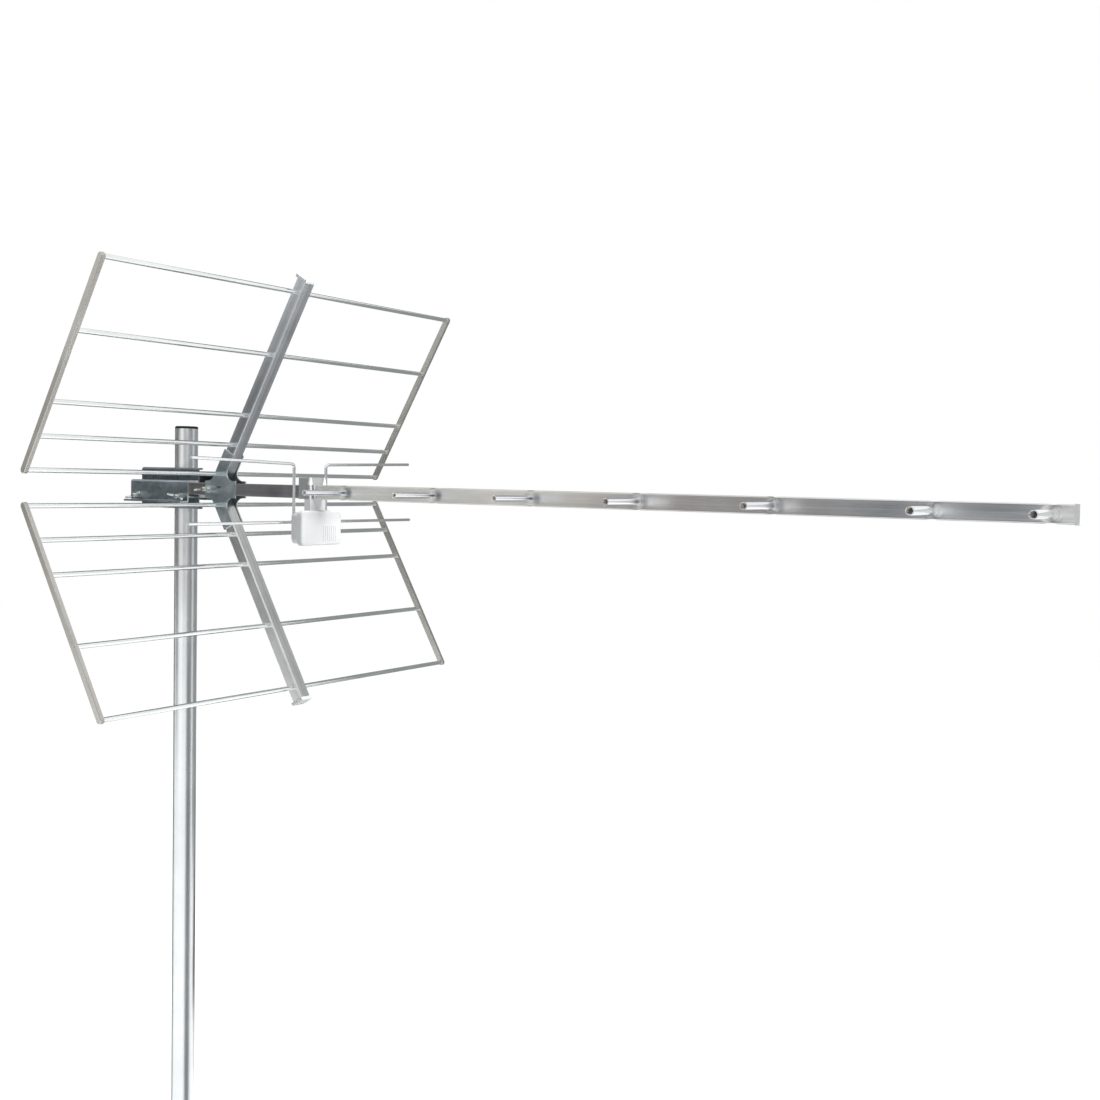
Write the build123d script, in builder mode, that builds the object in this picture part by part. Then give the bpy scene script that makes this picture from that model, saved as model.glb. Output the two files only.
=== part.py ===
from build123d import *
from math import cos, radians, sin, sqrt
import os

# UHF television antenna on a round mast: a square boom with seven directors, a pair of C-shaped
# dipole wires on a feed box, and a corner reflector of two rod wings.
# Millimetres. The origin is the centre of the mast's foot, +Z runs up the mast, and the boom
# points along +X. The boom passes the mast on its -Y side, which is the near side below.

os.makedirs("parts", exist_ok=True)

# Mast
mast_diameter = 38.0
mast_wall = 1.5
mast_length = 1200.0
mast_cap_height = 4.0
mast_cap_chamfer = 1.5
mast_cap_plug = 18.0
mast_cap_wall = 2.0
plug_clearance = 0.1

# Boom: the rear tube slides into the front one
rear_boom_size = 20.0
rear_boom_wall = 1.2
front_boom_size = 22.0
boom_corner = 1.5
slide_clearance = 0.05
boom_height = 1100.0
boom_offset = 42.0
rear_boom_start = -71.0
front_boom_start = 322.0
boom_overlap = 60.0
front_boom_end = 1437.8
end_cap_head = 23.0
end_cap_thickness = 6.5
end_cap_plug = 14.0
cap_chamfer = 1.2
plug_wall = 1.6

# Directors, counted from the feed: place along the boom and half length
director_places = [402.0, 571.0, 739.0, 903.0, 1090.0, 1285.0, 1414.0]
director_half_lengths = [95.0, 97.0, 97.0, 90.0, 92.0, 92.0, 95.0]
slim_directors = 3
slim_director_diameter = 8.0
director_diameter = 10.0
director_wall = 1.0
rod_clearance = 0.05
dish_rim = 3.2
dish_depth = 0.45
crimp_length = 14.0
crimp_depth = 1.2

# Reflector: two ribs lean forward from the boom and carry five rods each
apex_place = 124.8
wing_angle = 60.0
rib_size = 20.0
rib_wall = 1.5
rib_corner = 2.0
rib_overhang = 21.0
rib_cap_head = 24.0
rib_cap_thickness = 5.2
rib_cap_plug = 12.0
inner_rod_distance = 28.6
rod_pitch = 53.8
rod_steps = [0, 1, 2, 4, 6]
rod_diameter = 7.0
rod_wall = 0.8
strip_distance = 371.0
strip_width = 10.0
strip_thickness = 6.0
strip_chamfer = 0.8
rod_socket_depth = 4.0

# Hub: two cross-shaped plates hold the ribs and the boom between them
hub_sheet = 2.0
hub_back = 105.0
hub_front = 174.0
hub_boom_half_width = 13.7
hub_arm_half_width = 11.0
hub_arm_length = 68.6
hub_front_radius = 12.0
hub_back_radius = 16.0
hub_end_radius = 2.0
hub_slot_place = 136.0
hub_slot_height = 3.7
hub_slot_length = 12.0
hub_slot_width = 2.6
hub_bolt_place = 115.0
hub_bolt_diameter = 6.0
hub_bolt_head_width = 10.0
hub_bolt_head = 4.0
hub_nut_angle = 6.0
washer_thickness = 1.6
hole_clearance = 0.25
thread_clearance = 0.04

# Mast clamp: a folded channel holds the boom, two toothed jaws grip the mast
clamp_back = -74.0
clamp_front = 64.5
channel_sheet = 3.0
channel_drop = 23.5
channel_lip = 15.0
bend_inside = 1.0
locating_hole_place = -3.0
locating_hole_diameter = 4.0
near_jaw_height = 68.0
far_jaw_height = 44.0
far_jaw_rise = 2.5
jaw_sheet = 3.0
jaw_depth = 28.0
jaw_end_depth = 9.0
jaw_end_slope = 20.0
jaw_teeth = 6
jaw_tooth_depth = 1.2
jaw_panels = [(-46.0, -13.0), (13.0, 31.0)]
jaw_panel_depth = 1.0
jaw_panel_margin = 5.0
clamp_bolt_places = [-52.0, 52.0]
clamp_bolt_drop = 13.4
clamp_bolt_diameter = 6.0
clamp_bolt_tail = 6.5
clamp_bolt_head_width = 10.0
clamp_bolt_head = 4.0
clamp_washer_diameter = 12.0
wing_nut_hub = 12.0
wing_nut_height = 8.0
wing_nut_angles = [15.0, -12.0]
wing_thickness = 3.0
wing_nut_taper = 5.0
# half of a wing nut's outline, from its hub to its tip and back: out from the axis, and forward
wing_outline = [(5.0, -0.8), (15.0, -8.0), (19.0, -13.5), (17.5, -15.0), (12.0, -13.5), (5.0, -7.5)]

# Dipole wires
wire_diameter = 4.5
wire_place = 324.0
wire_back = 35.0
wire_top_reach = 236.0
wire_bottom_reach = 241.0
wire_top = 42.0
wire_top_rise = 4.9
wire_bottom = 46.0
wire_bend = 6.0
wire_clearance = 0.1

# Feed: a saddle on the boom, a box hung under it by two snap arms, and what the box holds
saddle_start = 314.0
saddle_length = 22.8
saddle_half_width = 14.5
saddle_top = 22.0
saddle_rounding = 1.5
neck_start = 328.0
neck_half_width = 16.4
arm_depth = 3.0
arm_width = 2.6
# a snap head's outline: out from the middle of its arm, and above the boom
snap_outline = [(-3.9, 0.0), (3.9, 0.0), (1.0, 11.5), (-1.0, 11.5)]
box_back = 320.0
box_seam = 340.0
box_half_width = 38.5
box_top = 31.0
box_bottom = 78.5
box_corner = 8.0
box_back_chamfer = 3.0
box_wall = 2.0
cover_front = 349.5
cover_half_width = 44.0
cover_top = 28.0
cover_bottom = 81.0
cover_corner = 7.0
cover_rounding = 3.0
cover_lip = 3.0
cover_lip_gap = 0.2
grip_rib_count = 7
grip_rib_pitch = 4.6
grip_rib_width = 1.6
grip_rib_height = 0.7
grip_rib_length = 24.0
grip_rib_centre = 17.0
grip_rib_bottom = 5.0
latch_width = 3.0
latch_height = 9.0
latch_place = 60.0
board_place = 331.0
board_thickness = 1.6
board_half_width = 33.0
board_top = 36.0
board_height = 38.0
post_diameter = 6.0
post_spacing = 40.0
post_drop = 69.0
terminal_inside = 29.5
terminal_outside = 34.4
terminal_start = 322.4
terminal_top = 35.0
terminal_height = 6.0
socket_drop = 60.0
socket_thread_diameter = 9.5
socket_thread_length = 12.0
socket_bore = 5.0
socket_nut_width = 12.0
socket_nut_thickness = 3.0
socket_body_size = 11.0

# Worked out from the above
boom_y = -boom_offset
half_rear = rear_boom_size / 2
half_front = front_boom_size / 2
half_rib = rib_size / 2
front_boom_wall = half_front - half_rear - slide_clearance
mast_radius = mast_diameter / 2
wing_run = cos(radians(wing_angle))
wing_rise = sin(radians(wing_angle))
rod_distances = [inner_rod_distance + step * rod_pitch for step in rod_steps]
rib_length = rod_distances[-1] + rib_overhang
strip_face = strip_distance - strip_thickness
jaw_far_face = 2 * boom_offset - half_rear
clamp_length = clamp_front - clamp_back
tooth_slope = sqrt(0.5)


def side(y=0.0):
    """Upright plane along the boom, y to the far side of its axis. It faces the near side."""
    return Plane(origin=(0, boom_y + y, boom_height), x_dir=(1, 0, 0), z_dir=(0, -1, 0))


def across(x):
    """Upright plane across the boom at x. It faces forward."""
    return Plane(origin=(x, boom_y, boom_height), x_dir=(0, 1, 0), z_dir=(1, 0, 0))


def level(z=0.0):
    """Level plane, z above the boom's axis."""
    return Plane(origin=(0, boom_y, boom_height + z), x_dir=(1, 0, 0), z_dir=(0, 0, 1))


def rib_plane(distance, up):
    """Plane across a rib at a distance from the apex, on the upper (1) or lower (-1) wing."""
    return Plane(
        origin=(apex_place + distance * wing_run, boom_y, boom_height + up * distance * wing_rise),
        x_dir=(0, 1, 0),
        z_dir=(wing_run, 0, up * wing_rise),
    )


def wing_point(distance, offset, up):
    """Point on a side plane: distance along a wing, and offset forward from its centre line."""
    return (
        apex_place + distance * wing_run + offset * wing_rise,
        up * (distance * wing_rise - offset * wing_run),
    )


def save(piece, name):
    piece.part.label = name
    export_step(piece.part, f"parts/{name}.step")


# Mast and its cap
with BuildPart() as mast:
    with BuildSketch(Plane.XY):
        Circle(mast_radius)
        Circle(mast_radius - mast_wall, mode=Mode.SUBTRACT)
    extrude(amount=mast_length)
save(mast, "mast")

cap_radius = mast_radius - mast_wall - plug_clearance
cap_top = mast_length + mast_cap_height
with BuildPart() as mast_cap:
    with BuildSketch(Plane.XZ):
        with BuildLine():
            Polyline(
                (0, cap_top),
                (0, mast_length),
                (cap_radius - mast_cap_wall, mast_length),
                (cap_radius - mast_cap_wall, mast_length - mast_cap_plug),
                (cap_radius, mast_length - mast_cap_plug),
                (cap_radius, mast_length),
                (mast_radius, mast_length),
                (mast_radius, cap_top - mast_cap_chamfer),
                (mast_radius - mast_cap_chamfer, cap_top),
                close=True,
            )
        make_face()
    revolve(axis=Axis.Z)
save(mast_cap, "mast_cap")

# Boom tubes
with BuildPart() as rear_boom:
    with BuildSketch(across(rear_boom_start)):
        RectangleRounded(rear_boom_size, rear_boom_size, boom_corner)
        rear_inside = rear_boom_size - 2 * rear_boom_wall
        Rectangle(rear_inside, rear_inside, mode=Mode.SUBTRACT)
    extrude(amount=front_boom_start + boom_overlap - rear_boom_start)
    with BuildSketch(side(-half_rear)):
        with Locations((hub_bolt_place, 0)):
            Circle(hub_bolt_diameter / 2 + hole_clearance)
    extrude(amount=-rear_boom_size, mode=Mode.SUBTRACT)
save(rear_boom, "rear_boom")

with BuildPart() as front_boom:
    with BuildSketch(across(front_boom_start)):
        RectangleRounded(front_boom_size, front_boom_size, boom_corner)
        front_inside = front_boom_size - 2 * front_boom_wall
        RectangleRounded(front_inside, front_inside, boom_corner - slide_clearance, mode=Mode.SUBTRACT)
    extrude(amount=front_boom_end - front_boom_start)
    for number, place in enumerate(director_places):
        slim = number < slim_directors
        radius = (slim_director_diameter if slim else director_diameter) / 2
        with BuildSketch(side(-half_front)):
            with Locations((place, 0)):
                Circle(radius + rod_clearance)
        extrude(amount=-front_boom_size, mode=Mode.SUBTRACT)
        # a shallow dish round the hole on each side
        for face, into in ((-half_front, -1), (half_front, 1)):
            with BuildSketch(side(face)):
                with Locations((place, 0)):
                    Circle(radius + dish_rim)
            extrude(amount=into * dish_depth, taper=45, mode=Mode.SUBTRACT)
        # a crimp across the top and the bottom presses the wall inwards
        crimp_radius = (crimp_length**2 / 4 + crimp_depth**2) / (2 * crimp_depth)
        crimp_spots = [(place, up * (half_front - crimp_depth + crimp_radius)) for up in (1, -1)]
        with BuildSketch(side(front_inside / 2)):
            with Locations(crimp_spots):
                Circle(crimp_radius + front_boom_wall)
            with Locations((place, 0)):
                Rectangle(2 * crimp_radius, front_inside, mode=Mode.INTERSECT)
        extrude(amount=front_inside)
        with BuildSketch(side(half_front)):
            with Locations(crimp_spots):
                Circle(crimp_radius)
        extrude(amount=front_boom_size, mode=Mode.SUBTRACT)
save(front_boom, "front_boom")


def make_square_cap(plane, head, thickness, plug, plug_length):
    """Moulded cap for a square tube: a head in front of the plane and a hollow plug behind it."""
    with BuildPart() as cap:
        with BuildSketch(plane):
            Rectangle(head, head)
        extrude(amount=thickness)
        outer_face = cap.faces().sort_by(Axis(plane.origin, plane.z_dir))[-1]
        chamfer(outer_face.edges(), cap_chamfer)
        with BuildSketch(plane):
            Rectangle(plug, plug)
            Rectangle(plug - 2 * plug_wall, plug - 2 * plug_wall, mode=Mode.SUBTRACT)
        extrude(amount=-plug_length)
    return cap


boom_end_cap = make_square_cap(
    across(front_boom_end),
    end_cap_head,
    end_cap_thickness,
    front_inside - 2 * boom_corner,
    end_cap_plug,
)
save(boom_end_cap, "boom_end_cap")

# Directors
for number, (place, half_length) in enumerate(zip(director_places, director_half_lengths)):
    slim = number < slim_directors
    radius = (slim_director_diameter if slim else director_diameter) / 2
    with BuildPart() as director:
        with BuildSketch(side(-half_length)):
            with Locations((place, 0)):
                Circle(radius)
                Circle(radius - director_wall, mode=Mode.SUBTRACT)
        extrude(amount=-2 * half_length)
    save(director, f"director_{number + 1}")

# Reflector wings
for wing, up in (("upper", 1), ("lower", -1)):
    with BuildPart() as rib:
        with BuildSketch(rib_plane(0, up)):
            RectangleRounded(rib_size, rib_size, rib_corner)
            rib_inside = rib_size - 2 * rib_wall
            Rectangle(rib_inside, rib_inside, mode=Mode.SUBTRACT)
        extrude(amount=rib_length)
        # the inner end is mitred to lie flat on the boom
        with BuildSketch(side(-half_rib)):
            with Locations((apex_place, up * (half_rear - rib_size))):
                Rectangle(4 * rib_size, 2 * rib_size)
        extrude(amount=-rib_size, mode=Mode.SUBTRACT)
        with BuildSketch(side(-half_rib)):
            with Locations([wing_point(distance, 0, up) for distance in rod_distances]):
                Circle(rod_diameter / 2 + rod_clearance)
        extrude(amount=-rib_size, mode=Mode.SUBTRACT)
    save(rib, f"{wing}_rib")

    rib_cap = make_square_cap(
        rib_plane(rib_length, up),
        rib_cap_head,
        rib_cap_thickness,
        rib_inside - 2 * plug_clearance,
        rib_cap_plug,
    )
    save(rib_cap, f"{wing}_rib_cap")

    for number, distance in enumerate(rod_distances):
        half_length = strip_face + rod_socket_depth
        with BuildPart() as rod:
            with BuildSketch(side(-half_length)):
                with Locations(wing_point(distance, 0, up)):
                    Circle(rod_diameter / 2)
                    Circle(rod_diameter / 2 - rod_wall, mode=Mode.SUBTRACT)
            extrude(amount=-2 * half_length)
        save(rod, f"{wing}_rod_{number + 1}")

    for hand, far in (("near", -1), ("far", 1)):
        with BuildPart() as strip:
            with BuildSketch(side(far * strip_face)):
                with Locations(wing_point((rod_distances[0] + rod_distances[-1]) / 2, 0, up)):
                    SlotCenterToCenter(
                        rod_distances[-1] - rod_distances[0], strip_width, rotation=up * wing_angle
                    )
            extrude(amount=-far * strip_thickness)
            outer_face = strip.faces().sort_by(Axis.Y)[-1 if far > 0 else 0]
            chamfer(outer_face.edges(), strip_chamfer)
            with BuildSketch(side(far * strip_face)):
                with Locations([wing_point(distance, 0, up) for distance in rod_distances]):
                    Circle(rod_diameter / 2 + rod_clearance)
            extrude(amount=-far * rod_socket_depth, mode=Mode.SUBTRACT)
        save(strip, f"{wing}_strip_{hand}")

# Hub plates
for hand, far in (("near", -1), ("far", 1)):
    with BuildPart() as hub_plate:
        with BuildSketch(side(far * half_rear)):
            with Locations(((hub_back + hub_front) / 2, 0)):
                Rectangle(hub_front - hub_back, 2 * hub_boom_half_width)
            for up in (1, -1):
                with BuildLine():
                    Polyline(
                        wing_point(0, -hub_arm_half_width, up),
                        wing_point(hub_arm_length, -hub_arm_half_width, up),
                        wing_point(hub_arm_length, hub_arm_half_width, up),
                        wing_point(0, hub_arm_half_width, up),
                        close=True,
                    )
                make_face()
        extrude(amount=-far * hub_sheet)
        # concave corners where the rib arms meet the boom arm
        for offset, radius in (
            (hub_arm_half_width, hub_front_radius),
            (-hub_arm_half_width, hub_back_radius),
        ):
            along = (hub_boom_half_width + offset * wing_run) / wing_rise
            for up in (1, -1):
                x, z = wing_point(along, offset, up)
                corner = (x, boom_y + far * half_rear, boom_height + z)
                fillet(hub_plate.edges().filter_by(Axis.Y).sort_by_distance(corner)[0], radius)
        end_corners = hub_plate.edges().filter_by(Axis.Y).group_by(Axis.X)[0]
        fillet(end_corners, hub_end_radius)
        with BuildSketch(side(far * half_rear)):
            with Locations((hub_bolt_place, 0)):
                Circle(hub_bolt_diameter / 2 + hole_clearance)
            with Locations((hub_slot_place, hub_slot_height)):
                SlotOverall(hub_slot_length, hub_slot_width)
            with Locations([wing_point(rod_distances[0], 0, up) for up in (1, -1)]):
                Circle(rod_diameter / 2 + rod_clearance)
        extrude(amount=-far * hub_sheet, mode=Mode.SUBTRACT)
    save(hub_plate, f"hub_plate_{hand}")

hub_face = half_rear + hub_sheet
hub_nut_face = hub_face + washer_thickness
hub_bolt_end = hub_nut_face + wing_nut_height + clamp_bolt_tail
with BuildPart() as hub_bolt:
    with BuildSketch(side(hub_face)):
        with Locations((hub_bolt_place, 0)):
            RegularPolygon(hub_bolt_head_width / 2, 6, major_radius=False)
    extrude(amount=-hub_bolt_head)
    with BuildSketch(side(hub_face)):
        with Locations((hub_bolt_place, 0)):
            Circle(hub_bolt_diameter / 2)
    extrude(amount=hub_face + hub_bolt_end)
save(hub_bolt, "hub_bolt")

with BuildPart() as hub_washer:
    with BuildSketch(side(-hub_face)):
        with Locations((hub_bolt_place, 0)):
            Circle(clamp_washer_diameter / 2)
            Circle(hub_bolt_diameter / 2 + hole_clearance, mode=Mode.SUBTRACT)
    extrude(amount=washer_thickness)
save(hub_washer, "hub_washer")


def make_wing_nut(place, drop, face, angle):
    """Wing nut on a bolt at place, drop below the boom's axis, its foot on face, wings at an angle."""
    turn = radians(angle)
    # local x runs out along the wings, local y away from the foot
    wings = Plane(
        origin=(place, boom_y - face, boom_height - drop),
        x_dir=(cos(turn), 0, sin(turn)),
        z_dir=(-sin(turn), 0, cos(turn)),
    )
    with BuildPart() as nut:
        with BuildSketch(wings):
            with BuildLine():
                other_wing = [(-out, forward) for out, forward in reversed(wing_outline)]
                Polyline(*wing_outline, *other_wing, close=True)
            make_face()
        extrude(amount=wing_thickness / 2, both=True)
        with BuildSketch(side(-face)):
            with Locations((place, -drop)):
                Circle(wing_nut_hub / 2)
        extrude(amount=wing_nut_height, taper=wing_nut_taper)
        with BuildSketch(side(-face)):
            with Locations((place, -drop)):
                Circle(clamp_bolt_diameter / 2 + thread_clearance)
        extrude(amount=clamp_bolt_tail + wing_nut_height, mode=Mode.SUBTRACT)
    return nut


hub_nut = make_wing_nut(hub_bolt_place, 0, hub_nut_face, hub_nut_angle)
save(hub_nut, "hub_nut")

# Mast clamp
channel_face = half_rear + channel_sheet
with BuildPart() as clamp_channel:
    with BuildSketch(across(clamp_back)) as channel_profile:
        with BuildLine():
            Polyline(
                (half_rear, half_rear),
                (half_rear, channel_face),
                (-channel_face, channel_face),
                (-channel_face, channel_sheet - channel_drop),
                (-channel_face - channel_lip, channel_sheet - channel_drop),
                (-channel_face - channel_lip, -channel_drop),
                (-half_rear, -channel_drop),
                (-half_rear, half_rear),
                close=True,
            )
        make_face()
        top_bend = channel_profile.vertices().sort_by_distance((-channel_face, channel_face))[0]
        fillet(top_bend, channel_sheet + bend_inside)
        low_bend = channel_profile.vertices().sort_by_distance((-half_rear, -channel_drop))[0]
        fillet(low_bend, channel_sheet + bend_inside)
        inner_top = channel_profile.vertices().sort_by_distance((-half_rear, half_rear))[0]
        fillet(inner_top, bend_inside)
        inner_low = channel_profile.vertices().sort_by_distance(
            (-channel_face, channel_sheet - channel_drop)
        )[0]
        fillet(inner_low, bend_inside)
    extrude(amount=clamp_length)
    with BuildSketch(side(-channel_face)):
        with Locations([(place, -clamp_bolt_drop) for place in clamp_bolt_places]):
            Circle(clamp_bolt_diameter / 2 + hole_clearance)
        with Locations((locating_hole_place, 0)):
            Circle(locating_hole_diameter / 2)
    extrude(amount=-channel_sheet, mode=Mode.SUBTRACT)
save(clamp_channel, "clamp_channel")


def make_jaw(face, away, height, rise):
    """Folded jaw: its back at face, its two flanges reach towards the mast (away 1 is +Y)."""
    with BuildPart() as jaw:
        with BuildSketch(across(clamp_back)) as profile:
            with Locations((face + away * jaw_depth / 2, rise)):
                Rectangle(jaw_depth, height)
            with Locations((face + away * (jaw_sheet + jaw_depth / 2), rise)):
                Rectangle(jaw_depth, height - 2 * jaw_sheet, mode=Mode.SUBTRACT)
            folds = profile.vertices().group_by(Axis.X)[0 if away > 0 else -1]
            fillet(folds, jaw_sheet + bend_inside)
        extrude(amount=clamp_length)
        # each flange slopes back towards its ends
        tip = face + away * jaw_depth
        shoulder = face + away * jaw_end_depth
        with BuildSketch(level(rise - height / 2)):
            for end, inward in ((clamp_back, 1), (clamp_front, -1)):
                with BuildLine():
                    Polyline((end, shoulder), (end, tip), (end + inward * jaw_end_slope, tip), close=True)
                make_face()
        extrude(amount=height, mode=Mode.SUBTRACT)
        # and has a toothed notch, square to itself, that grips the mast
        notch_point = boom_offset - away * mast_radius / tooth_slope
        pitch = mast_radius / jaw_teeth
        edge = []
        for tooth in range(2 * jaw_teeth):
            along = tooth * pitch
            edge.append((along * tooth_slope, notch_point + away * along * tooth_slope))
            along = along + pitch / 2
            edge.append(
                (
                    (along + jaw_tooth_depth) * tooth_slope,
                    notch_point + away * (along - jaw_tooth_depth) * tooth_slope,
                )
            )
        with BuildSketch(level(rise - height / 2)):
            with BuildLine():
                Polyline(
                    *edge,
                    (edge[-1][0], boom_offset),
                    (-edge[-1][0], boom_offset),
                    *[(-x, y) for x, y in reversed(edge[1:])],
                    close=True,
                )
            make_face()
        extrude(amount=height, mode=Mode.SUBTRACT)
        with BuildSketch(side(face)):
            for start, end in jaw_panels:
                with Locations(((start + end) / 2, rise)):
                    Rectangle(end - start, height - 2 * (jaw_sheet + jaw_panel_margin))
        extrude(amount=-away * jaw_panel_depth, mode=Mode.SUBTRACT)
        with BuildSketch(side(face)):
            with Locations([(place, -clamp_bolt_drop) for place in clamp_bolt_places]):
                Circle(clamp_bolt_diameter / 2 + hole_clearance)
        extrude(amount=-away * jaw_sheet, mode=Mode.SUBTRACT)
    return jaw


mast_jaw_near = make_jaw(half_rear, 1, near_jaw_height, 0)
save(mast_jaw_near, "mast_jaw_near")
mast_jaw_far = make_jaw(jaw_far_face, -1, far_jaw_height, far_jaw_rise)
save(mast_jaw_far, "mast_jaw_far")

nut_face = channel_face + washer_thickness
clamp_bolt_spots = [(place, -clamp_bolt_drop) for place in clamp_bolt_places]
with BuildPart() as clamp_bolts:
    with BuildSketch(side(jaw_far_face + washer_thickness)):
        with Locations(clamp_bolt_spots):
            RegularPolygon(clamp_bolt_head_width / 2, 6, major_radius=False)
    extrude(amount=-clamp_bolt_head)
    with BuildSketch(side(jaw_far_face + washer_thickness)):
        with Locations(clamp_bolt_spots):
            Circle(clamp_bolt_diameter / 2)
    extrude(amount=jaw_far_face + washer_thickness + nut_face + wing_nut_height + clamp_bolt_tail)
save(clamp_bolts, "clamp_bolts")

with BuildPart() as clamp_washers:
    for face, out in ((-channel_face, 1), (jaw_far_face, -1)):
        with BuildSketch(side(face)):
            with Locations(clamp_bolt_spots):
                Circle(clamp_washer_diameter / 2)
                Circle(clamp_bolt_diameter / 2 + hole_clearance, mode=Mode.SUBTRACT)
        extrude(amount=out * washer_thickness)
save(clamp_washers, "clamp_washers")

with BuildPart() as wing_nuts:
    for place, angle in zip(clamp_bolt_places, wing_nut_angles):
        add(make_wing_nut(place, clamp_bolt_drop, nut_face, angle).part)
save(wing_nuts, "wing_nuts")


# Dipole wires
def make_wire(far, radius):
    """Round wire in the plane across the boom at wire_place, on the far (1) or near (-1) side."""
    with BuildPart() as wire:
        with BuildLine(across(wire_place)) as route:
            FilletPolyline(
                (far * wire_top_reach, wire_top + wire_top_rise),
                (far * wire_back, wire_top),
                (far * wire_back, -wire_bottom),
                (far * wire_bottom_reach, -wire_bottom),
                radius=wire_bend,
            )
        with BuildSketch(Plane(origin=route.wire() @ 0, z_dir=route.wire() % 0)):
            Circle(radius)
        sweep(path=route.wire())
    return wire


dipole_near = make_wire(-1, wire_diameter / 2)
save(dipole_near, "dipole_near")
dipole_far = make_wire(1, wire_diameter / 2)
save(dipole_far, "dipole_far")

# Feed box housing: its neck touches the boom's underside, and two arms snap over the boom
box_height = box_bottom - box_top
box_middle = -(box_top + box_bottom) / 2
arm_middle = neck_half_width - arm_width / 2
with BuildPart() as feed_housing:
    with BuildSketch(across(box_back)):
        with Locations((0, box_middle)):
            RectangleRounded(2 * box_half_width, box_height, box_corner)
    extrude(amount=box_seam - box_back)
    chamfer(feed_housing.faces().sort_by(Axis.X)[0].edges(), box_back_chamfer)
    with BuildSketch(across(box_back + box_wall)):
        with Locations((0, box_middle)):
            RectangleRounded(
                2 * (box_half_width - box_wall), box_height - 2 * box_wall, box_corner - box_wall
            )
    extrude(amount=box_seam - box_back, mode=Mode.SUBTRACT)
    with BuildSketch(across(neck_start)):
        with Locations((0, -(half_front + box_top + box_wall) / 2)):
            Rectangle(2 * neck_half_width, box_top + box_wall - half_front)
    extrude(amount=box_seam - neck_start)
    for far in (-1, 1):
        with BuildSketch(across(box_seam)):
            with Locations((far * arm_middle, 0)):
                Rectangle(arm_width, front_boom_size)
            with BuildLine():
                Polyline(
                    *[(far * arm_middle + out, half_front + above) for out, above in snap_outline],
                    close=True,
                )
            make_face()
        extrude(amount=-arm_depth)
    with BuildSketch(across(box_back + box_wall)):
        with Locations((-post_spacing / 2, -post_drop), (post_spacing / 2, -post_drop)):
            Circle(post_diameter / 2)
    extrude(amount=board_place - box_back - box_wall)
    with BuildSketch(across(box_back)):
        with Locations((0, -socket_drop)):
            Circle(socket_thread_diameter / 2 + hole_clearance)
    extrude(amount=box_wall, mode=Mode.SUBTRACT)
    for far in (-1, 1):
        add(make_wire(far, wire_diameter / 2 + wire_clearance).part, mode=Mode.SUBTRACT)
save(feed_housing, "feed_housing")

cover_height = cover_bottom - cover_top
cover_middle = -(cover_top + cover_bottom) / 2
with BuildPart() as feed_cover:
    with BuildSketch(across(box_seam)):
        with Locations((0, cover_middle)):
            RectangleRounded(2 * cover_half_width, cover_height, cover_corner)
    extrude(amount=cover_front - box_seam)
    fillet(feed_cover.faces().sort_by(Axis.X)[-1].edges(), cover_rounding)
    inset = box_wall + cover_lip_gap
    with BuildSketch(across(box_seam)):
        with Locations((0, box_middle)):
            RectangleRounded(
                2 * (box_half_width - inset), box_height - 2 * inset, box_corner - inset
            )
    extrude(amount=-cover_lip)
    inset = inset + box_wall
    with BuildSketch(across(cover_front - box_wall)):
        with Locations((0, box_middle)):
            RectangleRounded(
                2 * (box_half_width - inset), box_height - 2 * inset, box_corner - inset
            )
    extrude(amount=box_seam - cover_lip - cover_front, mode=Mode.SUBTRACT)
    with BuildSketch(across(cover_front)):
        rib_z = grip_rib_bottom + grip_rib_length / 2 - cover_bottom
        with Locations((grip_rib_centre, rib_z)):
            with GridLocations(grip_rib_pitch, 0, grip_rib_count, 1):
                Rectangle(grip_rib_width, grip_rib_length)
    extrude(amount=grip_rib_height)
    with BuildSketch(across(box_seam)):
        with Locations((cover_half_width, -latch_place)):
            Rectangle(2 * latch_width, latch_height)
    extrude(amount=latch_width, mode=Mode.SUBTRACT)
save(feed_cover, "feed_cover")

# Grey saddle that holds the two booms' joint, behind the snap arms
with BuildPart() as dipole_insulator:
    with BuildSketch(across(saddle_start)) as saddle_profile:
        with Locations((0, (saddle_top - half_front) / 2)):
            Rectangle(2 * saddle_half_width, saddle_top + half_front)
        top_corners = saddle_profile.vertices().group_by(Axis.Y)[-1]
        fillet(top_corners, saddle_rounding)
        Rectangle(front_boom_size, front_boom_size, mode=Mode.SUBTRACT)
    extrude(amount=saddle_length)
save(dipole_insulator, "dipole_insulator")

# Inside the box
with BuildPart() as matching_board:
    with BuildSketch(across(board_place)):
        with Locations((0, -board_top - board_height / 2)):
            Rectangle(2 * board_half_width, board_height)
    extrude(amount=board_thickness)
save(matching_board, "matching_board")

with BuildPart() as wire_terminals:
    with BuildSketch(across(terminal_start)):
        for far in (-1, 1):
            terminal_middle = far * (terminal_inside + terminal_outside) / 2
            with Locations((terminal_middle, -terminal_top - terminal_height / 2)):
                Rectangle(terminal_outside - terminal_inside, terminal_height)
    extrude(amount=board_place - terminal_start)
    for far in (-1, 1):
        add(make_wire(far, wire_diameter / 2 + thread_clearance).part, mode=Mode.SUBTRACT)
save(wire_terminals, "wire_terminals")

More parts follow.
